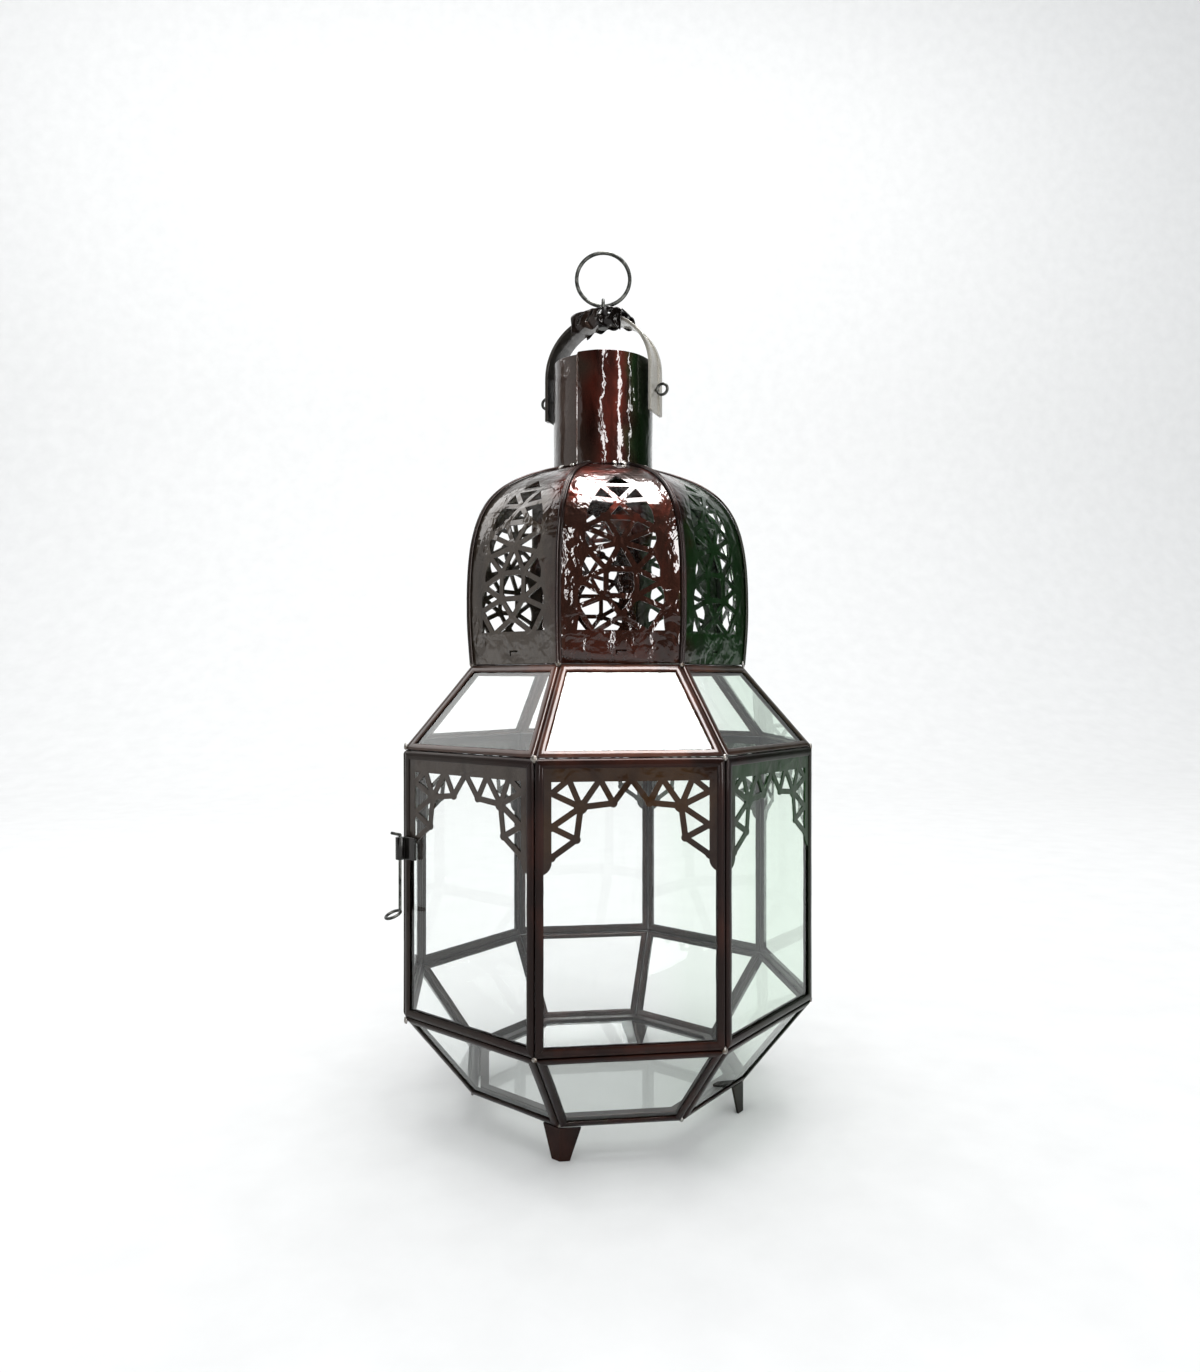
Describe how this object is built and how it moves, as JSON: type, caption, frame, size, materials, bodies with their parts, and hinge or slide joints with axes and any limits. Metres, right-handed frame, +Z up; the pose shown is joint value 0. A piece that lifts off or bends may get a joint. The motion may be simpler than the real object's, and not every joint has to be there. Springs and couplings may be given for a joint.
{
  "type": "lantern",
  "caption": "Octagonal hanging lantern of glass panes in folded metal strips, with a pierced metal dome, chimney, hinged side door, wire latch and swinging bail with a ring.",
  "frame": {"origin": "centre of the plane that the four feet stand on", "axes": "+Z up along the lantern's axis; the front pane faces -Y and the door faces -X"},
  "size_m": [0.2082, 0.2, 0.4441],
  "materials": {
    "lacquered_sheet": "gloss",
    "dark_strip": "gloss",
    "copper_strip": "gloss",
    "bail_sheet": "gloss",
    "blackened_sheet": "satin",
    "dark_wire": "satin",
    "clear_glass": "polished"
  },
  "bodies": {
    "body": {"dome_gore_1": "lacquered_sheet", "dome_gore_2": "lacquered_sheet", "dome_gore_3": "lacquered_sheet", "dome_gore_4": "lacquered_sheet", "dome_gore_5": "lacquered_sheet", "dome_gore_6": "lacquered_sheet", "dome_gore_7": "lacquered_sheet", "dome_gore_8": "lacquered_sheet", "dome_seams": "dark_strip", "chimney_tube": "lacquered_sheet", "band_frame_1": "dark_strip", "band_frame_2": "dark_strip", "band_frame_3": "dark_strip", "band_frame_4": "dark_strip", "band_frame_5": "dark_strip", "band_frame_6": "dark_strip", "band_frame_8": "dark_strip", "band_glass_1": "clear_glass", "band_glass_2": "clear_glass", "band_glass_3": "clear_glass", "band_glass_4": "clear_glass", "band_glass_5": "clear_glass", "band_glass_6": "clear_glass", "band_glass_8": "clear_glass", "valance_1": "lacquered_sheet", "valance_2": "lacquered_sheet", "valance_3": "lacquered_sheet", "valance_4": "lacquered_sheet", "valance_5": "lacquered_sheet", "valance_6": "lacquered_sheet", "valance_8": "lacquered_sheet", "shoulder_frames": "copper_strip", "shoulder_glass": "clear_glass", "lower_frames": "dark_strip", "lower_glass": "clear_glass", "base_frame": "dark_strip", "base_glass": "clear_glass", "foot_1": "dark_strip", "foot_2": "dark_strip", "foot_3": "dark_strip", "foot_4": "dark_strip", "hinge_knuckles_post": "dark_strip", "hinge_pins": "dark_wire", "latch_sleeve": "blackened_sheet", "bail_pin_right": "dark_wire", "bail_pin_left": "dark_wire"},
    "door": {"door_frame": "dark_strip", "door_glass": "clear_glass", "door_valance": "lacquered_sheet", "hinge_knuckles_door": "dark_strip"},
    "latch": {"latch_wire": "dark_wire"},
    "bail": {"bail_strap": "bail_sheet", "bail_crown": "blackened_sheet"},
    "eye": {"ring_eye": "dark_wire"},
    "ring": {"hang_ring": "dark_wire"}
  },
  "joints": [
    {"name": "door_hinge", "type": "hinge", "parent": "body", "child": "door", "pos_m": [-0.1024, 0.04242, 0.122], "axis": [0, 0, -1], "range_deg": [0, 160]},
    {"name": "latch_turn", "type": "hinge", "parent": "body", "child": "latch", "pos_m": [-0.10106, -0.04446, 0.134], "axis": [0, 0, 1], "range_deg": [-54, 75]},
    {"name": "bail_swing", "type": "hinge", "parent": "body", "child": "bail", "pos_m": [0, 0, 0.36735], "axis": [0.866, -0.5, 0], "range_deg": [-100, 100]},
    {"name": "eye_swivel", "type": "hinge", "parent": "bail", "child": "eye", "pos_m": [0, 0, 0.41515], "axis": [0, 0, 1], "continuous": true},
    {"name": "ring_tilt", "type": "hinge", "parent": "eye", "child": "ring", "pos_m": [0, 0, 0.41515], "axis": [0.9925, -0.1219, 0], "range_deg": [-90, 90]}
  ]
}
